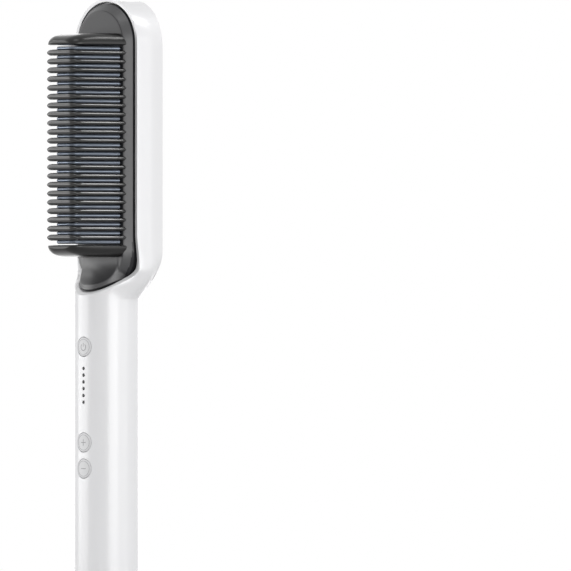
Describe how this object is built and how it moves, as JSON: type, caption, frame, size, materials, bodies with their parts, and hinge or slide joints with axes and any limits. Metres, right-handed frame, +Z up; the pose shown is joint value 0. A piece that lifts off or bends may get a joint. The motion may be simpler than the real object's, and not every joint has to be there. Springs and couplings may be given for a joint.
{
  "type": "hot comb",
  "caption": "Electric hair-straightening comb: round handle with push buttons, stadium-shaped head, heated metal fins between plastic guard fins.",
  "frame": {"origin": "centre of the cord gland's mouth in the tail face, on the handle's axis", "axes": "+Z up the handle to the head's tip, -Y the way the fins point, +X to the right seen from the comb side"},
  "size_m": [0.0462, 0.0474, 0.295],
  "materials": {
    "white_shell": "gloss white moulded ABS",
    "guard_black": "satin charcoal heat-resistant nylon",
    "comb_metal": "glossy blue-grey ceramic-coated aluminium",
    "film": "amber polyimide film",
    "ptc_ceramic": "dark sintered ceramic",
    "plain_steel": "plain zinc-plated steel",
    "spring_brass": "bright brass",
    "shield_plastic": "natural heat-resistant plastic",
    "ring_metal": "satin metallic grey",
    "panel_white": "gloss white with a faint silver sheen",
    "lens_dark": "dark smoked lens",
    "led_body": "clear epoxy",
    "board_green": "green solder mask",
    "carrier_plastic": "light grey moulded plastic",
    "component_black": "black moulded epoxy",
    "capacitor_yellow": "yellow film capacitor case",
    "choke_copper": "lacquered copper winding",
    "lead_red": "red silicone insulation",
    "lead_white": "white fibre-glass sleeve",
    "lead_brown": "brown insulation",
    "button_grey": "satin light-grey plastic",
    "gland_grey": "grey moulded gland"
  },
  "bodies": {
    "root": {"main_housing": "white_shell", "comb_guard": "guard_black", "heater_comb": "comb_metal", "insulation_film": "film", "ptc_heaters": "ptc_ceramic", "electrode_strips": "plain_steel", "heater_clamp": "plain_steel", "thermal_fuse": "plain_steel", "temperature_sensor": "component_black", "heat_shield": "shield_plastic", "shield_screws": "plain_steel", "rear_ring": "ring_metal", "rear_panel": "panel_white", "light_guide": "lens_dark", "indicator_leds": "led_body", "control_board": "board_green", "board_carrier": "carrier_plastic", "board_screws": "plain_steel", "power_switch": "component_black", "plus_switch": "component_black", "minus_switch": "component_black", "film_capacitor": "capacitor_yellow", "triac": "component_black", "choke": "choke_copper", "microcontroller": "component_black", "lead_terminal": "carrier_plastic", "heater_leads": "lead_red", "sensor_leads": "lead_white", "mains_leads": "lead_brown", "contact_springs": "spring_brass", "end_cap": "white_shell", "swivel_retainer": "carrier_plastic"},
    "power_button": {"power_button": "button_grey", "power_plunger": "component_black"},
    "plus_button": {"plus_button": "button_grey", "plus_plunger": "component_black"},
    "minus_button": {"minus_button": "button_grey", "minus_plunger": "component_black"},
    "cord_swivel": {"cord_swivel": "gland_grey", "slip_rings": "spring_brass"}
  },
  "joints": [
    {"name": "power_press", "type": "slide", "parent": "root", "child": "power_button", "axis": [0, 1, 0], "range_m": [0, 0.0005], "stiffness_N_per_m": 4000, "springref_m": -0.0004},
    {"name": "plus_press", "type": "slide", "parent": "root", "child": "plus_button", "axis": [0, 1, 0], "range_m": [0, 0.0005], "stiffness_N_per_m": 4000, "springref_m": -0.0004},
    {"name": "minus_press", "type": "slide", "parent": "root", "child": "minus_button", "axis": [0, 1, 0], "range_m": [0, 0.0005], "stiffness_N_per_m": 4000, "springref_m": -0.0004},
    {"name": "cord_swivel_turn", "type": "hinge", "parent": "root", "child": "cord_swivel", "pos_m": [0, 0, 0], "axis": [0, 0, 1], "continuous": true}
  ]
}
